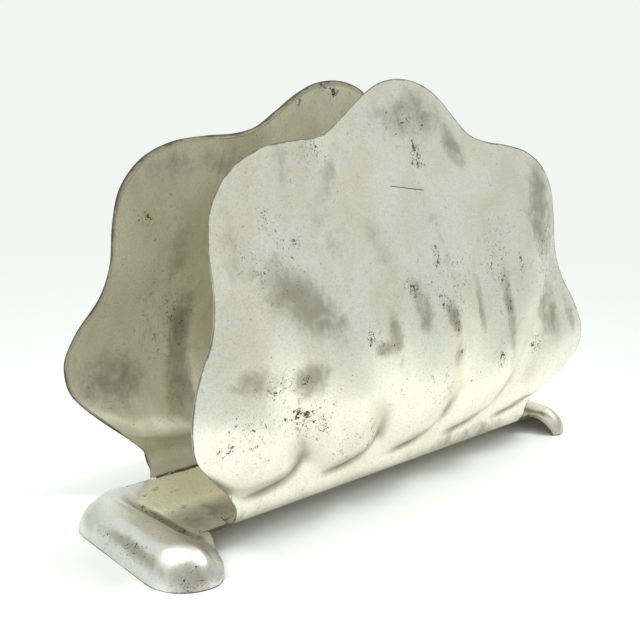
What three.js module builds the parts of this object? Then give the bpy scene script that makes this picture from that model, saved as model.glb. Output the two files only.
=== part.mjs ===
// Scallop-shell napkin holder: two fluted shell plates soldered to a narrow floor on two hollow feet.
// Millimetres, +Z up. X runs along the holder, -Y is the front. The origin is on the table, under the middle.
import * as THREE from 'three';

// ---- Driving dimensions -------------------------------------------------------------------------

const SHEET = 0.85;           // sheet thickness of every pressing
const GAP = 0.3;              // clearance that soldered pieces keep to their solder
const TOP_Z = 108;            // top of the shells above the table
const FLOOR_Z = 5.4;          // upper face of the base plate above the table

// Shell plates. "Depth" is the distance of the outer face from the mid-plane between the two shells.
const BASE_HALF_LENGTH = 57.6;  // half length of the shell at its rolled lower edge
const END_TRIM = 2.2;         // how much shorter the right end is at the top of the roll
const BAND_DEPTH = 21.2;      // depth of the plain band under the flutes
const BAND_Z = 11;            // top of the plain band, where the flutes begin
const TOE_SLANT = 3.5;        // how far the lower edge of a flute's toe rises evenly across the flute
const TOE_HOOK = 5.5;         // and how much further it turns up at its far side
const TOE_DROP = 6;           // height over which a toe rounds down onto the band
const TOE_FULLNESS = 5;       // how squarely the toes fill the width of their flutes
const ROLL_R = 5.6;           // outer radius of the roll that turns the band under
const SIDE_DROP = 4;          // how much the plate falls back from its middle to its side lobes
const SIDE_HALF_LENGTH = 75;  // half length over the lower side lobes
const TUCK = 3;               // extra inward lean of the middle lobe at the top

// Base plate
const PLATE_HALF_WIDTH = 14.25;
const PLATE_END_X = 65.7;     // where the neck ends
const NECK_X = 59.4;          // where the neck widens, past the ends of the shells
const NECK_FRONT_Y = -17.5;
const NECK_REAR_Y = 15;

// Feet
const FOOT_INNER_X = 66.9;
const FOOT_FRONT_CORNER_R = 10.5;
const FOOT_REAR_CORNER_R = 10;
const FOOT_RIDGE_Z = 7.6;     // highest point of the foot, along its ridge
const CREASE_X = 69.3;        // where the foot's slope starts to rise from the floor
const CREASE_SLANT = 0.06;    // how much this crease slants outwards towards the rear
const SLOPE_WIDTH = 4.4;      // width of the slope between the crease and the ridge
const REAR_EASE = 3.5;        // how much further in the slope starts at the foot's rear end
const NECK_REAR_WALL = 1.2;   // how far the rounded side reaches in from the ground line, at the neck's end
const FOOT_REAR_WALL = 9.5;   // then at the rear corner
const FOOT_FRONT_WALL = 10;   // and at the front
const REAR_CORNER_X = 76;     // outside this place the rear wall is the corner's
const REAR_WALL_BLEND = 8;    // and it goes over to the neck's within this width
// Hand: +1 is the right foot. Lip: the share of the ridge's height that the inner edge has in front of
// the neck. Droop: the share of its height that this edge then loses where it curls down.
const LEFT_FOOT = { hand: -1, outerX: 81.8, frontY: -30.8, rearY: 16.2, lip: 0.3, droop: 0.45 };
const RIGHT_FOOT = { hand: 1, outerX: 80, frontY: -26.6, rearY: 16.6, lip: 0.6, droop: 0 };
const CURL_WIDTH = 5;         // width of the strip that curls down

// Solder runs
const SEAM_HALF_LENGTH = 55.5;
const SEAM_WIDTH = 0.6;
const SEAM_CROWN = 0.45;      // how far the solder stands proud of the floor

// Mesh steps
const SHELL_COLUMNS_PER_UNIT = 7;
const ROLL_ROWS = 4;
const FACE_ROWS = 18;
const FOOT_ROWS = 20;
const FOOT_COLUMNS = 9;

// ---- Small helpers ------------------------------------------------------------------------------

const clamp01 = (v) => Math.min(1, Math.max(0, v));
const lerp = (a, b, t) => a + (b - a) * t;
const smooth = (v) => clamp01(v) ** 2 * (3 - 2 * clamp01(v));

// Straight lines through [input, output] knots, given in rising order of input.
function straightThrough(knots) {
  return (input) => {
    let k = 0;
    while (k < knots.length - 2 && input > knots[k + 1][0]) k += 1;
    const t = (input - knots[k][0]) / (knots[k + 1][0] - knots[k][0]);
    return lerp(knots[k][1], knots[k + 1][1], t);
  };
}

// A smooth function through [input, output] knots, given in rising order of input.
function curveThrough(knots) {
  const slopes = knots.map((_, k) => {
    const before = knots[Math.max(0, k - 1)];
    const after = knots[Math.min(knots.length - 1, k + 1)];
    return (after[1] - before[1]) / (after[0] - before[0]);
  });
  return (input) => {
    let k = 0;
    while (k < knots.length - 2 && input > knots[k + 1][0]) k += 1;
    const span = knots[k + 1][0] - knots[k][0];
    const t = clamp01((input - knots[k][0]) / span);
    const rise = knots[k + 1][1] - knots[k][1];
    const a = slopes[k] * span - rise;
    const b = rise - slopes[k + 1] * span;
    return knots[k][1] + rise * t + t * (1 - t) * (a * (1 - t) + b * t);
  };
}

// The points of a grid moved along its surface normal: side +1 follows (row step) x (column step).
function offsetGrid(grid, distance) {
  const rows = grid.length;
  const columns = grid[0].length;
  return grid.map((row, i) => row.map((point, j) => {
    const up = grid[Math.min(rows - 1, i + 1)][j].clone().sub(grid[Math.max(0, i - 1)][j]);
    const along = grid[i][Math.min(columns - 1, j + 1)].clone().sub(grid[i][Math.max(0, j - 1)]);
    return point.clone().addScaledVector(up.cross(along).normalize(), distance);
  }));
}

// One closed sheet between two grids of the same size. The outer grid's (row) x (column) faces outwards.
function closedSheet(outer, inner) {
  const rows = outer.length;
  const columns = outer[0].length;
  const positions = [...outer.flat(), ...inner.flat()].flatMap((p) => [p.x, p.y, p.z]);
  const at = (i, j, layer) => layer * rows * columns + i * columns + j;
  const index = [];
  const quad = (a, b, c, d) => index.push(a, b, c, a, c, d);
  for (let i = 0; i < rows - 1; i += 1) {
    for (let j = 0; j < columns - 1; j += 1) {
      quad(at(i, j, 0), at(i + 1, j, 0), at(i + 1, j + 1, 0), at(i, j + 1, 0));
      quad(at(i, j, 1), at(i, j + 1, 1), at(i + 1, j + 1, 1), at(i + 1, j, 1));
    }
  }
  for (let j = 0; j < columns - 1; j += 1) {
    quad(at(0, j, 0), at(0, j + 1, 0), at(0, j + 1, 1), at(0, j, 1));
    quad(at(rows - 1, j, 0), at(rows - 1, j, 1), at(rows - 1, j + 1, 1), at(rows - 1, j + 1, 0));
  }
  for (let i = 0; i < rows - 1; i += 1) {
    quad(at(i, 0, 0), at(i, 0, 1), at(i + 1, 0, 1), at(i + 1, 0, 0));
    quad(at(i, columns - 1, 0), at(i + 1, columns - 1, 0), at(i + 1, columns - 1, 1), at(i, columns - 1, 1));
  }
  const geometry = new THREE.BufferGeometry();
  geometry.setAttribute('position', new THREE.Float32BufferAttribute(positions, 3));
  geometry.setIndex(index);
  geometry.computeVertexNormals();
  return geometry;
}

// ---- Shell plates -------------------------------------------------------------------------------

// The rim of the right half, from the middle of the top down to the lower corner: three lobes, two notches.
const RIM_POINTS = [
  [0, TOP_Z], [8, 106.8], [14.5, 103.6], [20.5, 99.2], [27, 94.7], [33, 92.9], [40, 92.3], [50, 90.6],
  [58.6, 86.3], [64, 79.2], [65.5, 70.5], [65.3, 61], [67.1, 52.5], [71.9, 44.6], [74.5, 38.3],
  [SIDE_HALF_LENGTH, 33.9], [73.7, 27.8], [68.7, 21.8], [60.3, 14.2],
];
const NOTCHES = [[33, 92.9], [65.4, 61]];
const RIM_SAMPLES = 400;

const rightRim = RIM_POINTS.map(([x, z]) => new THREE.Vector2(x, z));
const leftRim = RIM_POINTS.slice(1).reverse().map(([x, z]) => new THREE.Vector2(-x, z));
const wholeRim = new THREE.SplineCurve([...leftRim, ...rightRim]);
wholeRim.arcLengthDivisions = 2 * RIM_SAMPLES;

// The rim's point at a share of the right half's length.
const rimPointAt = (share) => wholeRim.getPointAt((1 + share) / 2);

// The share of the right half's length at which it passes nearest to a point.
function rimShareNear([x, z]) {
  const target = new THREE.Vector2(x, z);
  let best = 0;
  for (let k = 1; k <= RIM_SAMPLES; k += 1) {
    const nearer = rimPointAt(k / RIM_SAMPLES).distanceTo(target)
      < rimPointAt(best / RIM_SAMPLES).distanceTo(target);
    if (nearer) best = k;
  }
  return best / RIM_SAMPLES;
}

// Flutes are counted by s: crests at 0, 2 and 4, valleys at 1, 3 and 5, and the same to the left.
const FLUTE_LIMIT = 5;
const rimShare = straightThrough([
  [0, 0],
  [1, rimShareNear(NOTCHES[0])],
  [3, rimShareNear(NOTCHES[1])],
  [FLUTE_LIMIT, 1],
]);

// Depth of the outer face along a flute's crest and along a valley, in the middle of the plate.
const crestDepth = curveThrough([
  [BAND_Z, BAND_DEPTH], [13.5, 23.4], [18, 26.5], [25, 29.3], [34, 31.2], [45, 29.7], [61, 25.3], [75, 21.6],
  [92, 18.2], [TOP_Z, 15],
]);
const valleyDepth = curveThrough([
  [BAND_Z, BAND_DEPTH], [17, 22.2], [24, 25.3], [34, 28.2], [45, 28], [61, 24.2], [75, 20.8], [92, 17.4],
  [TOP_Z, 14.6],
]);

// Height at which a flute's toe rises out of the band: it hooks upwards from the left valley to the right.
function toeEdgeZ(s) {
  const across = (s + FLUTE_LIMIT) / 2 - Math.floor((s + FLUTE_LIMIT) / 2);
  return BAND_Z + TOE_SLANT * across + TOE_HOOK * across ** 6;
}

// How fully the flute shows at a height: nothing on the band, then a round toe, wide and full at first.
function fluteShare(z, s) {
  const fromCrest = Math.abs(Math.sin(Math.PI * s / 2));
  const fullness = lerp(TOE_FULLNESS, 2, smooth((z - 16) / 24));
  const aboveBand = z - toeEdgeZ(s);
  const toe = 1 - (1 - clamp01(aboveBand / TOE_DROP)) ** 3;
  return (1 - fromCrest ** fullness) * toe;
}

function faceDepth(x, z, s) {
  const height = clamp01((z - BAND_Z) / (TOP_Z - BAND_Z));
  const sideDrop = SIDE_DROP * Math.sin(Math.PI * height ** 0.75) * (x / SIDE_HALF_LENGTH) ** 2;
  const tuck = TUCK * smooth((1.14 - Math.abs(s)) / 0.36) * smooth((z - 70) / 26);
  return lerp(valleyDepth(z), crestDepth(z), fluteShare(z, s)) - sideDrop - tuck;
}

// A point of the front shell's outer face: flute coordinate s, row 0 at the rolled edge, last row at the rim.
function shellPoint(s, row) {
  const side = Math.sign(s);
  const share = Math.abs(s) / FLUTE_LIMIT;
  const rimPoint = rimPointAt(rimShare(Math.abs(s)));
  const rollZ = FLOOR_Z - SHEET + ROLL_R;
  const turn = Math.min(1, row / ROLL_ROWS);
  const endX = BASE_HALF_LENGTH + turn - (s > 0 ? END_TRIM * smooth(2 * turn) : 0);
  if (row <= ROLL_ROWS) {
    const angle = (Math.PI / 2) * turn;
    const x = share * endX;
    const depth = BAND_DEPTH - ROLL_R + ROLL_R * Math.sin(angle);
    return new THREE.Vector3(side * x, -depth, rollZ - ROLL_R * Math.cos(angle));
  }
  const rise = (row - ROLL_ROWS) / FACE_ROWS;
  const startX = share * endX;
  const z = lerp(rollZ, rimPoint.y, rise ** 1.5);
  const x = lerp(startX, rimPoint.x, ((z - rollZ) / (rimPoint.y - rollZ)) ** 1.15);
  return new THREE.Vector3(side * x, -faceDepth(x, z, s), z);
}

function shellGeometry() {
  const columns = 2 * FLUTE_LIMIT * SHELL_COLUMNS_PER_UNIT;
  const outer = [];
  for (let row = 0; row <= ROLL_ROWS + FACE_ROWS; row += 1) {
    const points = [];
    for (let column = 0; column <= columns; column += 1) {
      points.push(shellPoint(FLUTE_LIMIT - column / SHELL_COLUMNS_PER_UNIT, row));
    }
    outer.push(points);
  }
  return closedSheet(outer, offsetGrid(outer, -SHEET));
}

// ---- Base plate ---------------------------------------------------------------------------------

function basePlateGeometry() {
  const half = PLATE_HALF_WIDTH;
  const outline = new THREE.Shape();
  outline.moveTo(-BASE_HALF_LENGTH, -half);
  outline.lineTo(BASE_HALF_LENGTH, -half);
  outline.lineTo(NECK_X, NECK_FRONT_Y);
  outline.lineTo(PLATE_END_X, NECK_FRONT_Y);
  outline.lineTo(PLATE_END_X, NECK_REAR_Y);
  outline.lineTo(NECK_X, NECK_REAR_Y);
  outline.lineTo(BASE_HALF_LENGTH, half);
  outline.lineTo(-BASE_HALF_LENGTH, half);
  outline.lineTo(-NECK_X, NECK_REAR_Y);
  outline.lineTo(-PLATE_END_X, NECK_REAR_Y);
  outline.lineTo(-PLATE_END_X, NECK_FRONT_Y);
  outline.lineTo(-NECK_X, NECK_FRONT_Y);
  outline.closePath();
  return new THREE.ExtrudeGeometry(outline, { depth: SHEET, bevelEnabled: false });
}

// ---- Feet ---------------------------------------------------------------------------------------

// The radius of the nearer outer corner, and how far a place along the foot lies beyond that corner's start.
function cornerAt(y, foot) {
  const front = y < (foot.frontY + foot.rearY) / 2;
  const radius = front ? FOOT_FRONT_CORNER_R : FOOT_REAR_CORNER_R;
  const toEnd = front ? y - foot.frontY : foot.rearY - y;
  return { radius, beyond: Math.min(radius, Math.max(0, radius - toEnd)) };
}

// How far in from the ground line a plan point lies. The ground line is a rectangle with round outer corners.
function insetFromGroundLine(x, y, foot) {
  const { radius, beyond } = cornerAt(y, foot);
  const overX = Math.max(0, x - (foot.outerX - radius));
  return Math.max(0, radius - Math.hypot(overX, beyond));
}

function footHeight(x, y, foot) {
  const frontShare = clamp01((foot.rearY - y) / (foot.rearY - foot.frontY));
  const rearWall = lerp(FOOT_REAR_WALL, NECK_REAR_WALL, smooth((REAR_CORNER_X - x) / REAR_WALL_BLEND));
  const wall = lerp(rearWall, FOOT_FRONT_WALL, smooth(frontShare * 1.4 - 0.4));
  const inset = clamp01(insetFromGroundLine(x, y, foot) / wall);
  const pastNeck = smooth((NECK_FRONT_Y + 2 - y) / 6) * foot.lip;
  const ease = REAR_EASE * smooth((y - 4) / 9);
  const towardsRidge = smooth((x - CREASE_X - CREASE_SLANT * y + ease) / (SLOPE_WIDTH + ease));
  const crown = lerp(FLOOR_Z, FOOT_RIDGE_Z, Math.max(pastNeck, towardsRidge));
  const fromEdge = clamp01((x - innerEdgeX(y, foot)) / CURL_WIDTH);
  const curl = foot.droop * smooth((NECK_FRONT_Y - 1 - y) / 5) * (1 - fromEdge) ** 2;
  return crown * (1 - (1 - inset) ** 2.2) ** 0.5 * (1 - curl);
}

// The foot's inner edge runs straight along the neck. In front of the neck it steps inwards, then it slants
// outwards as it goes down to the table.
function innerEdgeX(y, foot) {
  const neckCorner = NECK_FRONT_Y - 1;
  const edge = straightThrough([
    [foot.frontY, 70.3],
    [lerp(foot.frontY, neckCorner, 0.12), 67.8],
    [lerp(foot.frontY, neckCorner, 0.3), 66.5],
    [lerp(foot.frontY, neckCorner, 0.6), 65.4],
    [neckCorner, 64.1],
    [NECK_FRONT_Y - 0.35, FOOT_INNER_X],
    [foot.rearY, FOOT_INNER_X],
  ]);
  return edge(y);
}

function groundLineX(y, foot) {
  const { radius, beyond } = cornerAt(y, foot);
  return foot.outerX - radius + Math.sqrt(radius ** 2 - beyond ** 2);
}

function footGeometry(foot) {
  const outer = [];
  const inner = [];
  const middleY = (foot.frontY + foot.rearY) / 2;
  const halfY = (foot.rearY - foot.frontY) / 2;
  for (let i = 0; i <= FOOT_ROWS; i += 1) {
    const angle = Math.PI * (i / FOOT_ROWS - 0.5);
    const y = middleY + halfY * Math.sin(angle) * lerp(1, 0.94, Math.cos(angle));
    const outerRow = [];
    const innerRow = [];
    for (let j = 0; j <= FOOT_COLUMNS; j += 1) {
      const t = Math.sin((Math.PI / 2) * (j / FOOT_COLUMNS)) ** 1.2;
      const x = lerp(innerEdgeX(y, foot), groundLineX(y, foot), t);
      const z = footHeight(x, y, foot);
      outerRow.push(new THREE.Vector3(x, y, z));
      innerRow.push(hollowPoint(x, y, z, foot));
    }
    outer.push(outerRow);
    inner.push(innerRow);
  }
  const turnedRows = (grid) => grid.map((row) => row.toReversed());
  const mirrored = (grid) => grid.map((row) => row.map((p) => new THREE.Vector3(-p.x, p.y, p.z)));
  const toHand = foot.hand > 0 ? turnedRows : mirrored;
  return closedSheet(toHand(outer), toHand(inner));
}

// The underside of the sheet at a plan point: drawn in towards the middle and lowered by the thickness.
function hollowPoint(x, y, z, foot) {
  const middleY = (foot.frontY + foot.rearY) / 2;
  const halfY = (foot.rearY - foot.frontY) / 2;
  const innerY = middleY + (y - middleY) * ((halfY - SHEET) / halfY);
  const share = (x - innerEdgeX(y, foot)) / (groundLineX(y, foot) - innerEdgeX(y, foot));
  const innerX = lerp(innerEdgeX(innerY, foot), groundLineX(y, foot) - SHEET, share);
  const grounded = insetFromGroundLine(x, y, foot) < 1e-6;
  return new THREE.Vector3(innerX, innerY, grounded ? 0 : Math.max(0, z - SHEET));
}

// ---- Solder runs --------------------------------------------------------------------------------

// A run of solder: a rectangle filling the joint, with a low round crown on top, along a straight line.
function seamGeometry(length) {
  const half = SEAM_WIDTH / 2;
  const section = new THREE.Shape();
  section.moveTo(-half, -SHEET);
  section.lineTo(half, -SHEET);
  section.lineTo(half, 0);
  section.quadraticCurveTo(0, 2 * SEAM_CROWN, -half, 0);
  section.closePath();
  const options = { depth: length, bevelEnabled: false, curveSegments: 4 };
  const geometry = new THREE.ExtrudeGeometry(section, options);
  geometry.translate(0, 0, -length / 2);
  geometry.rotateX(Math.PI / 2);
  return geometry;
}

// ---- Materials ----------------------------------------------------------------------------------

const silver = (color, roughness) => new THREE.MeshStandardMaterial({ color, roughness, metalness: 1 });
const SHELL_FINISH = silver(0xd2cfc2, 0.34);
const PLATE_FINISH = silver(0xc4c0ac, 0.3);
const FOOT_FINISH = silver(0xd4d3ca, 0.28);
const SOLDER_FINISH = silver(0x77746a, 0.6);

// ---- Assembly -----------------------------------------------------------------------------------

const holder = new THREE.Group();

function place(name, geometry, material, x, y, z, turn) {
  const mesh = new THREE.Mesh(geometry, material);
  mesh.name = name;
  mesh.position.set(x, y, z);
  mesh.rotation.z = turn;
  holder.add(mesh);
}

const seamY = PLATE_HALF_WIDTH + GAP + SEAM_WIDTH / 2;
const footSeamX = PLATE_END_X + GAP + SEAM_WIDTH / 2;
const neckWidth = NECK_REAR_Y - NECK_FRONT_Y - 1;
const neckMiddleY = (NECK_REAR_Y + NECK_FRONT_Y) / 2;

place('front_shell', shellGeometry(), SHELL_FINISH, 0, 0, 0, 0);
place('rear_shell', shellGeometry(), SHELL_FINISH, 0, 0, 0, Math.PI);
place('base_plate', basePlateGeometry(), PLATE_FINISH, 0, 0, FLOOR_Z - SHEET, 0);
place('left_foot', footGeometry(LEFT_FOOT), FOOT_FINISH, 0, 0, 0, 0);
place('right_foot', footGeometry(RIGHT_FOOT), FOOT_FINISH, 0, 0, 0, 0);
place('front_seam', seamGeometry(2 * SEAM_HALF_LENGTH), SOLDER_FINISH, 0, -seamY, FLOOR_Z, Math.PI / 2);
place('rear_seam', seamGeometry(2 * SEAM_HALF_LENGTH), SOLDER_FINISH, 0, seamY, FLOOR_Z, Math.PI / 2);
place('left_foot_seam', seamGeometry(neckWidth), SOLDER_FINISH, -footSeamX, neckMiddleY, FLOOR_Z, 0);
place('right_foot_seam', seamGeometry(neckWidth), SOLDER_FINISH, footSeamX, neckMiddleY, FLOOR_Z, 0);

export default holder;
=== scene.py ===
# Scallop-shell napkin holder in worn silver plate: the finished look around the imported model.
import math

import bpy
import numpy as np
from mathutils import Matrix, Vector, noise


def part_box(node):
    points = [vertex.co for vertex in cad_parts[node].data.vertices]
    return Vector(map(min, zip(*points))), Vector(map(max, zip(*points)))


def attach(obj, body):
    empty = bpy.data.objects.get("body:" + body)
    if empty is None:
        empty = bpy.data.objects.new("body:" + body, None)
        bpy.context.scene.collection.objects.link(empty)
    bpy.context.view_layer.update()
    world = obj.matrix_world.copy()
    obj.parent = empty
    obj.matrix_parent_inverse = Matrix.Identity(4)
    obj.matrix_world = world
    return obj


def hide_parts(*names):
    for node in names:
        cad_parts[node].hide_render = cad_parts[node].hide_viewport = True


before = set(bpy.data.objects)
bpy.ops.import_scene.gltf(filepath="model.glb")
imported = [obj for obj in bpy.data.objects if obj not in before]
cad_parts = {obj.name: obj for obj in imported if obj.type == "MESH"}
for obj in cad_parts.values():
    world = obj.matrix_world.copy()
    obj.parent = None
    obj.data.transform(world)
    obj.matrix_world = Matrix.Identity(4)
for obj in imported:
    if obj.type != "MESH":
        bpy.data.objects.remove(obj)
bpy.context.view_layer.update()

# ---- Dimensions, in millimetres -----------------------------------------------------------------

MM = 0.001  # metres in a millimetre


def box_mm(node):
    """Lowest and highest corner of a CAD node, in millimetres."""
    low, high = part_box(node)
    return low / MM, high / MM


shell_low, shell_high = box_mm("front_shell")
plate_low, plate_high = box_mm("base_plate")
foot_low, foot_high = box_mm("left_foot")
right_foot_low, right_foot_high = box_mm("right_foot")
seam_low, seam_high = box_mm("rear_seam")
foot_seam_low, foot_seam_high = box_mm("left_foot_seam")

TOP_Z = shell_high.z
FLOOR_Z = plate_high.z
SHEET = plate_high.z - plate_low.z
PLATE_END_X = plate_high.x
NECK_FRONT_Y = plate_low.y
NECK_REAR_Y = plate_high.y
SEAM_SLOT = 1.2  # between the neck's end and the foot, filled with solder
FOOT_INNER_X = PLATE_END_X + SEAM_SLOT / 2
FOOT_RIDGE_Z = foot_high.z
LEFT_FOOT = {
    "hand": -1, "outer_x": -foot_low.x, "front_y": foot_low.y, "rear_y": foot_high.y,
    "lip": 0.3, "droop": 0.45, "darkening": 0.1,
}
# The right foot's darkening makes it darker all over than the left.
RIGHT_FOOT = {
    "hand": 1, "outer_x": right_foot_high.x,
    "front_y": right_foot_low.y, "rear_y": right_foot_high.y,
    "lip": 0.6, "droop": 0, "darkening": 0.62,
}
SEAM_Y = (seam_low.y + seam_high.y) / 2
FOOT_SEAM_X = -(foot_seam_low.x + foot_seam_high.x) / 2

# The same shape numbers as the CAD shells and feet have.
BASE_HALF_LENGTH = 57.6
BAND_DEPTH = 21.2
BAND_Z = 11
ROLL_R = 5.6
SIDE_DROP = 4
SIDE_HALF_LENGTH = 75
TUCK = 3
TOE_FULLNESS = 5
TOE_SLANT = 3.5
TOE_HOOK = 5.5
TOE_DROP = 6
END_TRIM = 2.2
PLATE_HALF_WIDTH = 14.25
NECK_X = 59.4
FOOT_FRONT_CORNER_R = 10.5
FOOT_REAR_CORNER_R = 10
CREASE_X = 69.3
CREASE_SLANT = 0.06
SLOPE_WIDTH = 4.4
REAR_EASE = 3.5
NECK_REAR_WALL = 1.2
FOOT_REAR_WALL = 9.5
FOOT_FRONT_WALL = 10
REAR_CORNER_X = 76
REAR_WALL_BLEND = 8
CURL_WIDTH = 5
FLUTE_LIMIT = 5

# Fineness of the meshes
SHELL_COLUMNS = 260
ROLL_ROWS = 12
FACE_ROWS = 130
FOOT_ROWS = 84
FOOT_COLUMNS = 44
PLATE_ROWS = 30
SOLDER_STEP = 0.5

# Width of the rounding along cut edges
SHELL_ROUNDING = 0.22
FLAT_ROUNDING = 0.15


# ---- Small helpers ------------------------------------------------------------------------------


def smooth(value):
    """0 below 0, 1 above 1, and a soft step between."""
    t = np.clip(value, 0, 1)
    return t * t * (3 - 2 * t)


def lerp(a, b, t):
    return a + (b - a) * t


def curve_through(knots):
    """A smooth function through (input, output) knots, given in rising order of input."""
    xs, ys = np.array(knots, float).T
    before = np.maximum(np.arange(len(xs)) - 1, 0)
    after = np.minimum(np.arange(len(xs)) + 1, len(xs) - 1)
    slopes = (ys[after] - ys[before]) / (xs[after] - xs[before])

    def value(x):
        k = np.clip(np.searchsorted(xs, x) - 1, 0, len(xs) - 2)
        span = xs[k + 1] - xs[k]
        t = np.clip((x - xs[k]) / span, 0, 1)
        rise = ys[k + 1] - ys[k]
        a = slopes[k] * span - rise
        b = rise - slopes[k + 1] * span
        return ys[k] + rise * t + t * (1 - t) * (a * (1 - t) + b * t)

    return value


def grid_normals(grid):
    """Unit normals of a grid of points, facing (row step) x (column step)."""
    up = np.gradient(grid, axis=0)
    along = np.gradient(grid, axis=1)
    normals = np.cross(up, along)
    return normals / np.linalg.norm(normals, axis=2, keepdims=True)


def softened(grid, passes):
    """A grid of points with its fine detail smoothed away."""
    for _ in range(passes):
        for axis in (0, 1):
            padded = np.concatenate([grid.take([0], axis), grid, grid.take([-1], axis)], axis)
            count = padded.shape[axis]
            before, middle, after = (
                padded.take(np.arange(k, count - 2 + k), axis) for k in range(3)
            )
            grid = (before + 2 * middle + after) / 4
    return grid


def unevenness(grid, size, seed):
    """Smooth noise, about -1 to 1, at each point of a grid. Its bumps have a size in millimetres."""
    shift = Vector((seed * 37.1, seed * 11.7, seed * 5.3))
    flat = [noise.noise(Vector(p) / size + shift) for p in grid.reshape(-1, 3)]
    return np.array(flat).reshape(grid.shape[:2])


def closed_sheet(name, outer, inner):
    """One closed sheet between two grids of the same size, in millimetres."""
    rows, columns = outer.shape[:2]
    points = np.concatenate([outer.reshape(-1, 3), inner.reshape(-1, 3)]) * MM
    at = np.arange(2 * rows * columns).reshape(2, rows, columns)
    top, under = at

    def strip(a, b, c, d):
        return np.stack([a, b, c, d], axis=-1).reshape(-1, 4)

    quads = [
        strip(top[:-1, :-1], top[1:, :-1], top[1:, 1:], top[:-1, 1:]),
        strip(under[:-1, :-1], under[:-1, 1:], under[1:, 1:], under[1:, :-1]),
        strip(top[0, :-1], top[0, 1:], under[0, 1:], under[0, :-1]),
        strip(top[-1, :-1], under[-1, :-1], under[-1, 1:], top[-1, 1:]),
        strip(top[:-1, 0], under[:-1, 0], under[1:, 0], top[1:, 0]),
        strip(top[:-1, -1], top[1:, -1], under[1:, -1], under[:-1, -1]),
    ]
    return mesh_object(name, points, np.concatenate(quads).tolist())


def mesh_object(name, points, faces):
    mesh = bpy.data.meshes.new(name)
    mesh.from_pydata([tuple(p) for p in points], [], faces)
    mesh.polygons.foreach_set("use_smooth", [True] * len(mesh.polygons))
    mesh.update()
    made = bpy.data.objects.new(name, mesh)
    bpy.context.scene.collection.objects.link(made)
    return made


def soften_edges(piece, width):
    """Rounds the cut edges of a sheet."""
    bevel = piece.modifiers.new("soft_edge", "BEVEL")
    bevel.width = width * MM
    bevel.segments = 2
    bevel.limit_method = "ANGLE"
    bevel.angle_limit = math.radians(50)
    bevel.harden_normals = True


def set_attribute(piece, name, values):
    """Stores one number per vertex, for the material to read."""
    layer = piece.data.attributes.new(name, "FLOAT", "POINT")
    layer.data.foreach_set("value", np.asarray(values, np.float32).ravel())


def stand_for(piece, node):
    """Makes a piece ride with the model in place of a CAD node."""
    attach(piece, "root")
    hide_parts(node)


# ---- Materials ----------------------------------------------------------------------------------


class Tree:
    """Short calls for building the nodes of a material or a world."""

    def __init__(self, owner, coordinate="Object"):
        self.owner = owner
        self.owner.use_nodes = True
        self.nodes = self.owner.node_tree.nodes
        self.links = self.owner.node_tree.links
        self.nodes.clear()
        self.place = self.add("ShaderNodeTexCoord").outputs[coordinate]

    def add(self, kind, inputs=None, **settings):
        made = self.nodes.new(kind)
        for key, value in settings.items():
            setattr(made, key, value)
        for socket, value in (inputs or {}).items():
            if isinstance(value, bpy.types.NodeSocket):
                self.links.new(value, made.inputs[socket])
            else:
                made.inputs[socket].default_value = value
        return made

    def calc(self, operation, a, b=0.0, c=0.0, clamp=False):
        made = self.add("ShaderNodeMath", {0: a, 1: b, 2: c}, operation=operation, use_clamp=clamp)
        return made.outputs[0]

    def noise(self, size, detail=3, roughness=0.5, distortion=0.0, shift=0.0, stretch=(1, 1, 1)):
        """Noise whose largest features are about a size in millimetres."""
        scaled = self.add(
            "ShaderNodeMapping",
            {"Vector": self.place, "Location": (shift, shift * 0.7, shift * 1.3), "Scale": stretch},
        )
        made = self.add(
            "ShaderNodeTexNoise",
            {
                "Vector": scaled.outputs[0],
                "Scale": 1 / (size * MM),
                "Detail": detail,
                "Roughness": roughness,
                "Distortion": distortion,
            },
        )
        return made.outputs["Fac"]

    def band(self, value, low, high):
        """0 below low, 1 above high, with a soft step between."""
        made = self.add(
            "ShaderNodeMapRange",
            {"Value": value, "From Min": low, "From Max": high},
            interpolation_type="SMOOTHSTEP",
        )
        return made.outputs[0]

    def scale_to(self, value, low, high):
        """A value between 0 and 1 brought to the range from low to high."""
        made = self.add("ShaderNodeMapRange", {"Value": value, "To Min": low, "To Max": high})
        return made.outputs[0]

    def attribute(self, name):
        return self.add("ShaderNodeAttribute", attribute_name=name).outputs["Fac"]

    def tint(self, factor, a, b):
        """Colour a, going over to colour b as the factor rises."""
        colours = [c if isinstance(c, bpy.types.NodeSocket) else (*c, 1) for c in (a, b)]
        inputs = {0: factor, 6: colours[0], 7: colours[1]}
        made = self.add("ShaderNodeMix", inputs, data_type="RGBA")
        return made.outputs[2]

    def bump(self, height, distance, strength=1.0, under=None):
        inputs = {"Height": height, "Distance": distance * MM, "Strength": strength}
        if under is not None:
            inputs["Normal"] = under
        return self.add("ShaderNodeBump", inputs).outputs[0]

    def finish(self, colour, roughness, normal, metallic=1.0):
        shader = self.add(
            "ShaderNodeBsdfPrincipled",
            {"Base Color": colour, "Metallic": metallic, "Roughness": roughness, "Normal": normal},
        )
        self.add("ShaderNodeOutputMaterial", {"Surface": shader.outputs[0]})
        return self.owner


BLACK_PIT = (0.03, 0.027, 0.02)
STAIN_AND_SHADE_OLIVE = (0.34, 0.33, 0.25)
TARNISH_AND_SHADE_BROWN = (0.55, 0.52, 0.41)
GRIME_AND_SHADE = (0.2, 0.19, 0.13)
GRAIN_SHADE = (0.42, 0.4, 0.3)
FLOOR_SILVER = (0.95, 0.925, 0.74)
HIGHLIGHT_SILVER = (0.98, 0.97, 0.9)
SOLDER_GREY = (0.62, 0.6, 0.52)
SOLDER_DIRT = (0.12, 0.11, 0.08)


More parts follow.
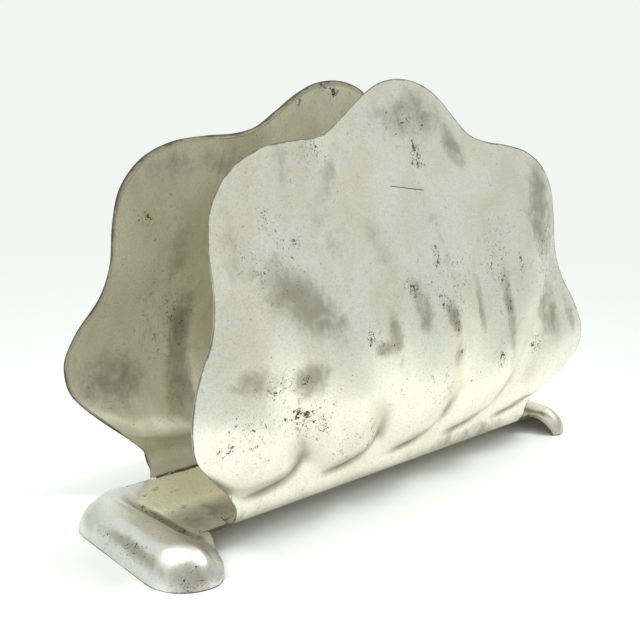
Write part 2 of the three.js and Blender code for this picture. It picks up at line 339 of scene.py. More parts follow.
def scratch(tree, start, end, width):
    """1 on a fine straight scratch of a shell, and 0 off it. Start and end are (x, z)."""

    def vector_math(operation, inputs, output):
        return tree.add("ShaderNodeVectorMath", inputs, operation=operation).outputs[output]

    split = tree.add("ShaderNodeSeparateXYZ", {0: tree.place}).outputs
    flat = tree.add("ShaderNodeCombineXYZ", {0: split["X"], 2: split["Z"]}).outputs[0]
    a = Vector((start[0], 0, start[1])) * MM
    along = Vector((end[0], 0, end[1])) * MM - a
    from_a = vector_math("SUBTRACT", {0: flat, 1: a}, "Vector")
    dot = vector_math("DOT_PRODUCT", {0: from_a, 1: along}, "Value")
    share = tree.calc("DIVIDE", dot, along.length_squared, clamp=True)
    nearest = vector_math("SCALE", {0: along, "Scale": share}, "Vector")
    gap = vector_math("DISTANCE", {0: from_a, 1: nearest}, "Value")
    return tree.calc("SUBTRACT", 1.0, tree.band(gap, width * MM * 0.3, width * MM), clamp=True)


def plated_silver(name, silver, dull, gloss, marks=()):
    """Worn silver plate, clouded and pitted, with stains, tarnish, grime, painted shade and a
    painted highlight from a piece's attributes.
    """
    tree = Tree(bpy.data.materials.new(name))
    cloud = tree.noise(13, 5, 0.58, 0.5, stretch=(1, 1, 0.6))
    mottle = tree.noise(3, 6, 0.62, 0.3, shift=0.3, stretch=(1, 1, 0.45))
    breakup = tree.noise(6, 5, 0.62, 0.8, shift=1.5)
    grain = tree.noise(0.5, 4, 0.65, shift=0.9)
    flecks = tree.noise(1.25, 8, 0.72, 0.25, shift=0.6)
    clusters = tree.noise(5, 3, 0.6, 0.5, shift=1.2)
    wander = tree.noise(2.4, 4, 0.6, 1.4, shift=2.1)
    breaks = tree.noise(1.5, 4, 0.65, 0.5, shift=2.7)
    stain_and_shade = tree.attribute("stain_and_shade")
    tarnish_and_shade = tree.attribute("tarnish_and_shade")
    pitting = tree.attribute("pitting")
    edge = tree.attribute("edge")
    grime_and_shade = tree.attribute("grime_and_shade")
    floor_like = tree.attribute("floor")
    painted_highlight = tree.attribute("painted_highlight")

    colour = tree.tint(tree.band(cloud, 0.38, 0.72), silver, dull)
    colour = tree.tint(tree.scale_to(tree.band(mottle, 0.42, 0.72), 0, 0.36), colour, dull)
    colour = tree.tint(floor_like, colour, FLOOR_SILVER)
    # A painted highlight: brighter silver along the feet's crests.
    highlight_amount = tree.calc("MULTIPLY", painted_highlight, tree.scale_to(mottle, 0.5, 1.1), clamp=True)
    colour = tree.tint(highlight_amount, colour, HIGHLIGHT_SILVER)
    # Tarnish, with painted shade on the shells' inner faces and in the feet's hollows.
    ragged = tree.calc("ADD", tarnish_and_shade, tree.scale_to(cloud, -0.25, 0.25))
    colour = tree.tint(tree.band(ragged, 0.1, 1.1), colour, TARNISH_AND_SHADE_BROWN)
    # Stains, some of them painted shade of the flutes and notches and a painted reflection on the
    # feet.
    blotch = tree.calc("ADD", stain_and_shade, tree.scale_to(mottle, -0.25, 0.25))
    blotch = tree.calc("ADD", blotch, tree.scale_to(breakup, -0.55, 0.55))
    stained_and_shaded = tree.calc("MULTIPLY", tree.band(blotch, 0.1, 0.85), 0.85)
    colour = tree.tint(stained_and_shaded, colour, STAIN_AND_SHADE_OLIVE)
    # Grime in the feet's creases, and painted shade along the toes of the front shell.
    grime_and_shade_amount = tree.calc("MULTIPLY", grime_and_shade, tree.scale_to(mottle, 0.55, 1.1), clamp=True)
    colour = tree.tint(tree.calc("MULTIPLY", grime_and_shade_amount, 0.9), colour, GRIME_AND_SHADE)

    zone = tree.calc("MULTIPLY", pitting, 0.22)
    zone = tree.calc("ADD", zone, tree.scale_to(clusters, -0.11, 0.11))
    pits = tree.band(tree.calc("ADD", flecks, zone), 0.715, 0.745)
    off_line = tree.calc("ABSOLUTE", tree.calc("SUBTRACT", wander, 0.5))
    fine_lines = tree.calc("SUBTRACT", 1.0, tree.band(off_line, 0.004, 0.016), clamp=True)
    here = tree.band(tree.calc("ADD", breaks, zone), 0.62, 0.68)
    pits = tree.calc("MAXIMUM", pits, tree.calc("MULTIPLY", fine_lines, here))
    for start, end, width in marks:
        pits = tree.calc("MAXIMUM", pits, scratch(tree, start, end, width))
    # Painted shade along the cut edges, at the plate's front and rear edges and where the feet meet
    # the table.
    rim_shade = tree.band(tree.calc("ADD", edge, tree.scale_to(breakup, -0.6, 0.6)), 0.5, 0.85)
    pits = tree.calc("MAXIMUM", pits, tree.calc("MULTIPLY", rim_shade, 0.85))
    colour = tree.tint(tree.scale_to(tree.band(grain, 0.42, 0.75), 0, 0.32), colour, GRAIN_SHADE)
    colour = tree.tint(tree.calc("MULTIPLY", pits, 0.95), colour, BLACK_PIT)

    roughness = tree.calc("ADD", gloss, tree.scale_to(mottle, -0.05, 0.08))
    roughness = tree.calc("ADD", roughness, tree.calc("MULTIPLY", tarnish_and_shade, 0.42))
    roughness = tree.calc("ADD", roughness, tree.calc("MULTIPLY", floor_like, 0.2))
    roughness = tree.calc("ADD", roughness, tree.calc("MULTIPLY", stained_and_shaded, 0.12))
    roughness = tree.calc("ADD", roughness, tree.calc("MULTIPLY", pits, 0.35), clamp=True)

    normal = tree.bump(cloud, 0.35, 0.5)
    normal = tree.bump(mottle, 0.05, 0.5, normal)
    normal = tree.bump(grain, 0.012, 0.5, normal)
    normal = tree.bump(tree.calc("SUBTRACT", 1.0, pits), 0.06, 0.8, normal)
    return tree.finish(colour, roughness, normal, tree.scale_to(pits, 1, 0.15))


def old_solder():
    """Dull, dirty solder, brighter where its shine attribute rises."""
    tree = Tree(bpy.data.materials.new("old_solder"))
    lumps = tree.noise(1.6, 4, 0.6, 0.3)
    specks = tree.noise(0.6, 3, 0.6, shift=0.5)
    shine = tree.attribute("shine")
    dirt = tree.band(tree.calc("SUBTRACT", lumps, tree.calc("MULTIPLY", shine, 0.5)), 0.05, 0.5)
    colour = tree.tint(dirt, SOLDER_GREY, SOLDER_DIRT)
    normal = tree.bump(specks, 0.08, 0.7, tree.bump(lumps, 0.2, 0.6))
    return tree.finish(colour, tree.scale_to(dirt, 0.3, 0.7), normal)


# ---- Shells -------------------------------------------------------------------------------------

# The rim's right half, from the middle of the top to the lower corner: three lobes, two notches.
RIM_POINTS = [
    (0, TOP_Z), (8, 106.8), (14.5, 103.6), (20.5, 99.2), (27, 94.7), (33, 92.9), (40, 92.3),
    (50, 90.6), (58.6, 86.3), (64, 79.2), (65.5, 70.5), (65.3, 61), (67.1, 52.5), (71.9, 44.6),
    (74.5, 38.3), (SIDE_HALF_LENGTH, 33.9), (73.7, 27.8), (68.7, 21.8), (60.3, 14.2),
]
NOTCHES = [(33, 92.9), (65.4, 61)]

crest_depth = curve_through([
    (BAND_Z, BAND_DEPTH), (13.5, 23.4), (18, 26.5), (25, 29.3), (34, 31.2), (45, 29.7), (61, 25.3),
    (75, 21.6), (92, 18.2), (TOP_Z, 15),
])
valley_depth = curve_through([
    (BAND_Z, BAND_DEPTH), (17, 22.2), (24, 25.3), (34, 28.2), (45, 28), (61, 24.2), (75, 20.8),
    (92, 17.4), (TOP_Z, 14.6),
])


def rim_line():
    """Points along the rim's right half with their share of its length, smooth across the top."""
    right = np.array(RIM_POINTS, float)
    points = np.concatenate([right[1:2] * (-1, 1), right, right[-1:]])
    t = np.linspace(0, 1, 40, endpoint=False)[:, None]
    steps = []
    for p0, p1, p2, p3 in zip(points, points[1:], points[2:], points[3:]):
        v0, v1 = (p2 - p0) / 2, (p3 - p1) / 2
        cubic = 2 * p1 - 2 * p2 + v0 + v1
        square = 3 * p2 - 3 * p1 - 2 * v0 - v1
        steps.append(cubic * t**3 + square * t**2 + v0 * t + p1)
    line = np.concatenate([*steps, right[-1:]])
    length = np.concatenate([[0], np.cumsum(np.linalg.norm(np.diff(line, axis=0), axis=1))])
    return line, length / length[-1]


def rim_at(s):
    """Rim x and z at a flute coordinate s of the right half."""
    line, share = rim_line()
    nearest = [share[np.argmin(np.linalg.norm(line - notch, axis=1))] for notch in NOTCHES]
    wanted = np.interp(s, [0, 1, 3, FLUTE_LIMIT], [0, *nearest, 1])
    return np.interp(wanted, share, line[:, 0]), np.interp(wanted, share, line[:, 1])


def toe_edge_z(s):
    """Height at which a flute's toe leaves the band. It hooks upwards from left valley to right."""
    across = (s + FLUTE_LIMIT) / 2 % 1
    return BAND_Z + TOE_SLANT * across + TOE_HOOK * across**6


def flute_share(z, s):
    """How fully a flute shows: nothing on the band, then a round toe, wide and full at first."""
    fullness = lerp(TOE_FULLNESS, 2, smooth((z - 16) / 24))
    toe = 1 - (1 - np.clip((z - toe_edge_z(s)) / TOE_DROP, 0, 1)) ** 3
    return (1 - np.abs(np.sin(np.pi * s / 2)) ** fullness) * toe


def face_depth(x, z, s):
    height = np.clip((z - BAND_Z) / (TOP_Z - BAND_Z), 0, 1)
    side_drop = SIDE_DROP * np.sin(np.pi * height**0.75) * (x / SIDE_HALF_LENGTH) ** 2
    tuck = TUCK * smooth((1.14 - np.abs(s)) / 0.36) * smooth((z - 70) / 26)
    return lerp(valley_depth(z), crest_depth(z), flute_share(z, s)) - side_drop - tuck


def shell_face():
    """Outer face of the front shell as a grid of points, one column for each even step of the flute
    coordinate.
    """
    s = np.linspace(FLUTE_LIMIT, -FLUTE_LIMIT, SHELL_COLUMNS + 1)[None, :]
    side = np.sign(s)
    share = np.abs(s) / FLUTE_LIMIT
    rim_x, rim_z = rim_at(np.abs(s))
    roll_z = FLOOR_Z - SHEET + ROLL_R
    start_x = share * (BASE_HALF_LENGTH + 1 - END_TRIM * (s > 0))

    turn = np.linspace(0, 1, ROLL_ROWS, endpoint=False)[:, None]
    angle = turn * math.pi / 2
    roll_x = side * share * (BASE_HALF_LENGTH + turn - END_TRIM * (s > 0) * smooth(2 * turn))
    roll_depth = (BAND_DEPTH - ROLL_R + ROLL_R * np.sin(angle)) + 0 * s
    roll = np.stack([roll_x, -roll_depth, roll_z - ROLL_R * np.cos(angle) + 0 * s], axis=2)

    rise = np.linspace(0, 1, FACE_ROWS + 1)[:, None]
    z = lerp(roll_z, rim_z, rise**1.5)
    x = lerp(start_x, rim_x, ((z - roll_z) / (rim_z - roll_z)) ** 1.15)
    face = np.stack([side * x, -face_depth(x, z, s), z], axis=2)
    return np.concatenate([roll, face])


def patch(x, z, places):
    """How strongly each point lies in soft oval patches, listed as below for the shells."""
    total = np.zeros_like(x)
    for px, pz, long, wide, slant, strength in places:
        turn = math.radians(slant)
        along = (x - px) * math.cos(turn) + (z - pz) * math.sin(turn)
        across = (z - pz) * math.cos(turn) - (x - px) * math.sin(turn)
        reach = np.sqrt((along / long) ** 2 + (across / wide) ** 2)
        total = np.maximum(total, strength * smooth((1.6 - reach) / 1.4))
    return total


def toe_shade(grid):
    """How much painted shade lies along the lower edge of each toe, up its right flank and low in
    the flute valleys, for the front shell's outer face.
    """
    s = np.linspace(FLUTE_LIMIT, -FLUTE_LIMIT, grid.shape[1])[None]
    across = (s + FLUTE_LIMIT) / 2 % 1
    above = grid[..., 2] - toe_edge_z(s)
    line = smooth(1.2 - np.abs(above - 0.3) / lerp(1.1, 2.6, across))
    flank = 0.7 * smooth(1 - np.abs(above - 1.8) / 3.6) * smooth((across - 0.3) / 0.5)
    valley = 0.8 * smooth(1 - np.abs(s - 2 * np.round((s - 1) / 2) - 1) / 0.22)
    valley = valley * smooth((grid[..., 2] - 15) / 4) * smooth((30 - grid[..., 2]) / 10)
    return np.maximum(np.maximum(line * smooth((across - 0.08) / 0.3), flank), valley)


def make_shell(name, node, material, stains_and_shade, pitted, inner_tarnish_and_shade, seed, turned=False):
    """A fluted shell plate. The rear one is the front one turned half round."""
    outer = shell_face()
    grime_and_shade = toe_shade(outer)
    if turned:
        outer = outer * (-1, -1, 1)
    dents = 0.11 * unevenness(outer, 17, seed) + 0.03 * unevenness(outer, 6, seed + 1)
    normals = grid_normals(outer)
    fade = smooth((outer[..., 2:] - FLOOR_Z) / 6)
    outer = outer + normals * dents[..., None] * fade
    inner = softened(outer - softened(grid_normals(outer), 12) * SHEET, 4)
    piece = closed_sheet(name, outer, inner)

    both = np.stack([outer, inner])
    x, z = both[..., 0], both[..., 2]
    inside = np.array([0, 1])[:, None, None]
    cuts = (outer[-1:], outer[:, :1], outer[:, -1:])
    from_rim = np.minimum.reduce([np.linalg.norm(outer - cut, axis=2) for cut in cuts])
    rim_tarnish = 1.2 * smooth(2 - 3 * from_rim) * turned
    # Inner faces: tarnish with painted shade, darker near the floor between the shells and lighter
    # high up.
    tarnish_and_shade_inside = inner_tarnish_and_shade + 0.4 * smooth((9 - z) / 3) - 0.14 * smooth((z - 50) / 20)
    set_attribute(piece, "stain_and_shade", patch(x, z, stains_and_shade))
    set_attribute(piece, "pitting", patch(x, z, pitted))
    set_attribute(piece, "tarnish_and_shade", np.maximum(inside * tarnish_and_shade_inside, rim_tarnish))
    # The edge attribute paints shade along the shell's cut rims.
    set_attribute(piece, "edge", np.maximum(1 - from_rim, -1) - 0.6 * inside)
    # Painted shade along the toes, weaker on the inner face.
    set_attribute(piece, "grime_and_shade", np.stack([grime_and_shade, 0.4 * grime_and_shade]))
    piece.data.materials.append(material)
    soften_edges(piece, SHELL_ROUNDING)
    stand_for(piece, node)


# Stains of the shells, partly painted shade of the flutes and notches, and their pitted places: (x,
# z, half length, half width, slant, strength).
FRONT_STAINS_AND_SHADE = [
    (-44, 57, 15, 6, -36, 0.75),
    (-35, 51, 7, 4.5, -25, 0.55),
    (-43, 40, 5, 4.5, 0, 0.8),
    (-58, 41, 7, 3.5, -10, 0.5),
    (-45, 87, 4, 6, 20, 0.35),
    (-30, 84, 3, 9, -35, 0.45),
    (-32, 68, 3, 12, 30, 0.3),
    (-17, 68, 3, 10, 25, 0.35),
    (-15, 47, 2.6, 8, 8, 0.65),
    (-18, 43, 5, 2.5, 0, 0.55),
    (-5, 52, 3.5, 9, 10, 0.6),
    (6, 66, 2.5, 13, 20, 0.3),
    (7, 48, 3.5, 5, 25, 0.7),
    (21, 48, 1.8, 10, 5, 0.6),
    (33, 47, 2.4, 14, 0, 0.6),
    (10, 38, 5, 4, 0, 0.5),
    (0, 99, 14, 7, 0, 0.55),
    (18, 92, 4, 8, 35, 0.55),
    (56, 74, 7, 15, 0, 0.7),
    (57, 43, 6, 9, 25, 0.6),
    (68, 42, 3, 7, 20, 0.5),
    (-61, 72, 2.5, 16, 0, 0.35),
    (28, 8.5, 26, 3, 0, 0.5),
    (-57, 6, 2, 5, 0, 0.5),
]
FRONT_PITTED = [
    (2, 89, 3, 5, 10, 1.0),
    (3, 64, 2, 4, 0, 1.0),
    (-8, 57, 4, 2.5, -40, 0.95),
    (4, 52, 3, 5, 30, 0.95),
    (-23.5, 46, 1.8, 3, 0, 0.95),
    (-17, 44, 6, 3, 0, 0.45),
    (28, 34, 2, 5, 0, 0.75),
    (-45.2, 77, 1.2, 2, 0, 0.9),
    (-57, 68, 1, 1, 0, 0.85),
    (-39.4, 68.6, 3, 1.4, 0, 0.75),
    (8, 46, 3, 4, 0, 0.85),
    (10, 38, 3, 1.6, 20, 0.85),
    (-45, 32, 4, 3, -40, 0.88),
    (-50, 40, 8, 3, 0, 0.7),
    (-67, 28, 4, 2.5, 20, 0.78),
    (-52, 75, 2, 3, 0, 0.85),
    (-43.5, 70, 1.5, 1.5, 0, 0.95),
    (-53, 63.5, 2, 2, 0, 0.9),
    (42, 59, 1.5, 5, 0, 0.85),
    (33, 48, 2, 12, 0, 0.75),
    (50, 34, 4, 3, 0, 0.75),
    (-44, 30, 11, 6, -30, 0.62),
    (-25, 22, 9, 6, 20, 0.6),
    (-60, 30, 8, 8, 0, 0.5),
    (10, 56, 14, 10, 0, 0.5),
    (30, 60, 12, 14, 0, 0.5),
    (0, 30, 16, 6, 0, 0.45),
    (-50, 66, 10, 10, 0, 0.45),
    (2, 96, 10, 8, 0, 0.45),
    (-36, 90, 8, 5, 0, 0.5),
    (58, 62, 8, 16, 0, 0.5),
]
REAR_STAINS_AND_SHADE = [
    (-42, 34, 5, 17, -8, 0.8),
    (-44, 62, 4, 9, 0, 0.35),
    (-62, 30, 10, 8, 0, 0.6),
    (-50, 84, 9, 5, 20, 0.4),
    (-36, 86, 8, 4, 0, 0.4),
]
REAR_PITTED = [
    (-57, 72, 3, 2, 0, 1.0),
    (-1, 104, 2, 2, 0, 1.0),
    (-14, 102, 2, 2, 0, 0.9),
    (-5, 106.5, 3, 1, 0, 0.9),
    (-46, 45, 10, 14, 0, 0.5),
]

# Scratches of the front shell: start (x, z), end (x, z), width.
FRONT_SCRATCHES = [
    ((-9.7, 81.6), (2.3, 80.4), 0.22),
    ((1.4, 92.5), (2.2, 90.4), 0.35),
]


# ---- Base plate ---------------------------------------------------------------------------------

# Stains of the floor: (x, y, half length, half width, slant, strength).
FLOOR_STAINS = [
    (-55, -11, 5, 6, 0, 0.6),
    (-63, -12, 4, 6, 0, 0.55),
    (-60.5, 9, 1.6, 0.6, 30, 0.9),
    (-61, -4, 1.4, 0.6, 40, 0.8),
]

# The slanting line past which the rear corners over the feet stay bright
BRIGHT_CORNER = (59.5, 14.3)
BRIGHT_SLANT = 0.95
BRIGHT_BLEND = 3.5


def floor_share(x, y):
    """How much a place has the floor's dull olive look, and not the feet's brighter one."""
    line_x = BRIGHT_CORNER[0] + BRIGHT_SLANT * (BRIGHT_CORNER[1] - y)
    return smooth((line_x - np.abs(x)) / BRIGHT_BLEND + 0.5)


def floor_darkening(x, y):
    """How dark the floor is made, light at the rear and heavy in front."""
    return lerp(0.02, 1.15, smooth((2 - y) / 12)) * floor_share(x, y)


def make_base_plate(material):
    """The floor between the shells, with a neck to each foot."""
    x = np.concatenate([
        np.linspace(-PLATE_END_X, -NECK_X, 13),
        np.linspace(-NECK_X, -BASE_HALF_LENGTH, 9)[1:],
        np.linspace(-BASE_HALF_LENGTH, BASE_HALF_LENGTH, 117)[1:-1],
        np.linspace(BASE_HALF_LENGTH, NECK_X, 9)[:-1],
        np.linspace(NECK_X, PLATE_END_X, 13),
    ])
    widening = smooth((np.abs(x) - BASE_HALF_LENGTH - 0.05) / 0.5)
    front = lerp(-PLATE_HALF_WIDTH - 0.25, NECK_FRONT_Y, widening)
    rear = lerp(PLATE_HALF_WIDTH + 0.25, NECK_REAR_Y, widening)
    across = np.linspace(0, 1, PLATE_ROWS + 1)[:, None]
    y = lerp(front[None], rear[None], across)
    top = np.stack([x[None] + 0 * y, y, np.full_like(y, FLOOR_Z)], axis=2)
    level = smooth((PLATE_END_X - np.abs(top[..., 0])) / 3)
    top[..., 2] += 0.14 * unevenness(top, 9, 5) * level - 0.04
    under = top - (0, 0, SHEET)
    piece = closed_sheet("floor_plate", top[::-1], under[::-1])

    spot_x, spot_y = np.array([v.co for v in piece.data.vertices]).T[:2] / MM
    at_edge = np.zeros((2, *y.shape))
    at_edge[:, [0, -1]] = 1
    set_attribute(piece, "stain_and_shade", patch(spot_x, spot_y, FLOOR_STAINS))
    set_attribute(piece, "pitting", 0.2 + 0.4 * smooth((np.abs(spot_x) - 63) / 3))
    set_attribute(piece, "tarnish_and_shade", floor_darkening(spot_x, spot_y))
    set_attribute(piece, "floor", floor_share(spot_x, spot_y))
    # The plate's front and rear edges get painted shade.
    set_attribute(piece, "edge", at_edge)
    piece.data.materials.append(material)
    soften_edges(piece, FLAT_ROUNDING)
    stand_for(piece, "base_plate")


# ---- Feet ---------------------------------------------------------------------------------------

# The inner edge in front of the neck: (share of the way from the front end to the neck, x).
INNER_EDGE = [(0, 70.3), (0.12, 67.8), (0.3, 66.5), (0.6, 65.4), (1, 64.1)]

# Stains (one a painted reflection on the outer slope) and pitted places: (x, y, half length, half
# width, slant, strength), x counted outwards.
FOOT_STAINS_AND_SHADE = [
    (76.5, -28.3, 5, 2.2, 35, 0.75),
    # A painted reflection line along the middle of the outer slope.
    (80, -12, 1, 15, 0, 0.75),
    (70, -22, 3, 4, 0, 0.45),
]
FOOT_PITTED = [
    (77, -28.5, 6, 2, 35, 0.65),
    (80, -14, 1.4, 8, 0, 0.5),
    (81, -4, 1, 12, 0, 0.5),
]


def corner_at(y, foot):
    """Radius of the nearer outer corner, and how far past its start a place along the foot lies."""
    front = y < (foot["front_y"] + foot["rear_y"]) / 2
    radius = np.where(front, FOOT_FRONT_CORNER_R, FOOT_REAR_CORNER_R)
    to_end = np.where(front, y - foot["front_y"], foot["rear_y"] - y)
    return radius, np.clip(radius - to_end, 0, radius)


def foot_inset(x, y, foot):
    """How far in from the ground line a plan point lies."""
    radius, beyond = corner_at(y, foot)
    beyond_side = np.maximum(0, x - (foot["outer_x"] - radius))
    return np.maximum(0, radius - np.hypot(beyond_side, beyond))


def past_crease(x, y):
    """How far outwards a plan point lies from the crease, where the slope rises from the floor."""
    return x - CREASE_X - CREASE_SLANT * y


def foot_height(x, y, foot):
    """Height of the foot's outer face over a plan point, with x counted outwards."""
    front_share = np.clip((foot["rear_y"] - y) / (foot["rear_y"] - foot["front_y"]), 0, 1)
    rear_wall = lerp(FOOT_REAR_WALL, NECK_REAR_WALL, smooth((REAR_CORNER_X - x) / REAR_WALL_BLEND))
    wall = lerp(rear_wall, FOOT_FRONT_WALL, smooth(front_share * 1.4 - 0.4))
    inset = np.clip(foot_inset(x, y, foot) / wall, 0, 1)
    past_neck = smooth((NECK_FRONT_Y + 2 - y) / 6) * foot["lip"]
    ease = REAR_EASE * smooth((y - 4) / 9)
    towards_ridge = smooth((past_crease(x, y) + ease) / (SLOPE_WIDTH + ease))
    crown = lerp(FLOOR_Z, FOOT_RIDGE_Z, np.maximum(past_neck, towards_ridge))
    from_edge = np.clip((x - inner_edge_x(y, foot)) / CURL_WIDTH, 0, 1)
    curl = foot["droop"] * smooth((NECK_FRONT_Y - 1 - y) / 5) * (1 - from_edge) ** 2
    return crown * (1 - (1 - inset) ** 2.2) ** 0.5 * (1 - curl)


def inner_edge_x(y, foot):
    """Where the foot's inner edge lies: under the neck's end, then outwards to the front."""
    corner = NECK_FRONT_Y - 1
    ys = [lerp(foot["front_y"], corner, share) for share, _ in INNER_EDGE]
    xs = [edge_x for _, edge_x in INNER_EDGE]
    return np.interp(
        y, [*ys, corner + 0.65, foot["rear_y"]], [*xs, FOOT_INNER_X, FOOT_INNER_X]
    )


def ground_line_x(y, foot):
    """Where the foot's outer edge meets the table."""
    radius, beyond = corner_at(y, foot)
    return foot["outer_x"] - radius + np.sqrt(radius**2 - beyond**2)


def make_foot(name, node, material, foot, seed):
    """A hollow domed foot. Its hand is 1 for the right one and -1 for the left one."""
    middle = (foot["front_y"] + foot["rear_y"]) / 2
    half = (foot["rear_y"] - foot["front_y"]) / 2
    angle = np.pi * (np.linspace(0, 1, FOOT_ROWS + 1)[:, None] - 0.5)
    y = middle + half * np.sin(angle) * lerp(1, 0.94, np.cos(angle))
    t = np.sin(np.linspace(0, np.pi / 2, FOOT_COLUMNS + 1))[None] ** 1.2
    x = lerp(inner_edge_x(y, foot), ground_line_x(y, foot), t)
    y = y + 0 * x
    z = foot_height(x, y, foot)
    outer = np.stack([x, y, z], axis=2)
    uneven = 0.08 * unevenness(outer, 9, seed) + 0.03 * unevenness(outer, 3.5, seed + 1)
    outer[..., 2] += uneven * smooth(z / 3) * smooth((x - FOOT_INNER_X) / 2)

    shrunk_y = middle + (y - middle) * (half - SHEET) / half
    share = (x - inner_edge_x(y, foot)) / (ground_line_x(y, foot) - inner_edge_x(y, foot))
    under_x = lerp(inner_edge_x(shrunk_y, foot), ground_line_x(y, foot) - SHEET, share)
    grounded = foot_inset(x, y, foot) < 1e-6
    under_z = np.where(grounded, 0, np.maximum(0, outer[..., 2] - SHEET))
    under = np.stack([under_x, shrunk_y, under_z], axis=2)

    if foot["hand"] > 0:
        outer, under = outer[:, ::-1], under[:, ::-1]
    else:
        outer, under = outer * (-1, 1, 1), under * (-1, 1, 1)
    piece = closed_sheet(name, outer, under)

    both = np.stack([outer, under])
    far_x, foot_y, foot_z = np.abs(both[..., 0]), both[..., 1], both[..., 2]
    hollow_side = np.array([0, 1])[:, None, None]
    off_crease = past_crease(far_x, foot_y)

    def along_crease(off_line, front, rear):
        """1 on a line beside the crease, fading towards its sides and its two ends."""
        return smooth(1.2 - off_line) * smooth((foot_y + front) / 6) * smooth((rear - foot_y) / 8)

    crease_dirt = along_crease(np.abs(off_crease) / 2, 26, 9)
    # A painted highlight along the crest beside the crease.
    crest_highlight = along_crease(np.abs(off_crease - 4.6) / 3, 23, 12)
    neck_side = smooth((2 - off_crease) / 1.5) * smooth((foot_y + 24) / 6)
    # The floor's darkening runs onto the neck's side; each foot adds its own even darkening.
    tarnish_and_shade = neck_side * floor_darkening(far_x, foot_y) + foot["darkening"]
    stain_and_shade = np.maximum(0.7 * crease_dirt, patch(far_x, foot_y, FOOT_STAINS_AND_SHADE))
    pitting = np.maximum(0.72 * crease_dirt, patch(far_x, foot_y, FOOT_PITTED))
    set_attribute(piece, "stain_and_shade", stain_and_shade)
    set_attribute(piece, "pitting", pitting)
    # The hollow under the dome is painted dark as shade.
    set_attribute(piece, "tarnish_and_shade", np.maximum(tarnish_and_shade, hollow_side))
    # Painted shade where the foot meets the table.
    set_attribute(piece, "edge", smooth(1 - foot_z / 0.7))
    set_attribute(piece, "grime_and_shade", 0.55 * crease_dirt)
    set_attribute(piece, "floor", neck_side * floor_share(far_x, foot_y))
    set_attribute(piece, "painted_highlight", crest_highlight)
    piece.data.materials.append(material)
    soften_edges(piece, FLAT_ROUNDING)
    stand_for(piece, node)


# ---- Solder runs --------------------------------------------------------------------------------


def make_solder(name, node, material, start, end, width, crown, ragged, seed, blob=None):
    """A run of solder along the floor from start to end (x, y), ragged by a share of its width.

    A blob is a bright drop at a distance along the run.
    """
    start, end = np.array(start, float), np.array(end, float)
    length = np.linalg.norm(end - start)
    stations = int(length / SOLDER_STEP)
    t = np.linspace(0, 1, stations + 1)[:, None]
    line = lerp(start, end, t)
    along = (end - start) / length
    side = np.array((-along[1], along[0]))
    around = np.linspace(0, np.pi, 9)[None, :]

    def wobble(salt, size):
        stops = [k * SOLDER_STEP / size for k in range(stations + 1)]
        return np.array([noise.noise(Vector((stop, seed * 7.3, salt))) for stop in stops])[:, None]

    swell = 1 + ragged * wobble(1.7, 1.4) + 0.6 * ragged * wobble(4.1, 0.6)
    shine = np.zeros_like(t)
    if blob is not None:
        shine = smooth(1 - np.abs(t * length - blob) / 1.6)
        swell = swell + 0.5 * shine
    ends = np.minimum(1, np.minimum(t, 1 - t) * length / 1.5) ** 0.5
    half = width / 2 * np.maximum(0.35, swell) * np.maximum(0.3, ends)
    drift = ragged * 0.3 * width * wobble(8.9, 2.2)
    offset = half * np.cos(around) + drift
    height = crown * np.maximum(0.35, swell) * ends * np.sin(around) ** 2
    top = np.stack(
        [line[:, :1] + side[0] * offset, line[:, 1:] + side[1] * offset, FLOOR_Z + height], axis=2
    )
    under = top.copy()
    under[..., 2] = FLOOR_Z - SHEET
    piece = closed_sheet(name, top, under)

    spot_x, spot_y = np.concatenate([top.reshape(-1, 3)] * 2).T[:2]
    set_attribute(piece, "shine", np.stack([shine + 0 * offset] * 2))
    set_attribute(piece, "stain_and_shade", patch(spot_x, spot_y, FLOOR_STAINS))
    set_attribute(piece, "tarnish_and_shade", floor_darkening(spot_x, spot_y))
    set_attribute(piece, "floor", floor_share(spot_x, spot_y))
    piece.data.materials.append(material)
    piece.data.set_sharp_from_angle(angle=math.radians(50))
    stand_for(piece, node)


# ---- The holder ---------------------------------------------------------------------------------

SILVER = (0.93, 0.925, 0.8)
DULL = (0.84, 0.82, 0.68)
FOOT_SILVER = (0.74, 0.74, 0.69)
FOOT_DULL = (0.6, 0.6, 0.54)
front_finish = plated_silver("front_shell_silver", SILVER, DULL, 0.34, FRONT_SCRATCHES)
rear_finish = plated_silver("rear_shell_silver", SILVER, DULL, 0.42)
plate_finish = plated_silver("floor_silver", FOOT_SILVER, FOOT_DULL, 0.26)
foot_finish = plated_silver("foot_silver", FOOT_SILVER, FOOT_DULL, 0.26)
solder_finish = old_solder()

make_shell("fluted_front_shell", "front_shell", front_finish,
           FRONT_STAINS_AND_SHADE, FRONT_PITTED, inner_tarnish_and_shade=0.6, seed=1)
make_shell("fluted_rear_shell", "rear_shell", rear_finish,
           REAR_STAINS_AND_SHADE, REAR_PITTED, inner_tarnish_and_shade=0.64, seed=3, turned=True)
make_base_plate(plate_finish)
make_foot("left_domed_foot", "left_foot", foot_finish, LEFT_FOOT, seed=7)
make_foot("right_domed_foot", "right_foot", foot_finish, RIGHT_FOOT, seed=9)

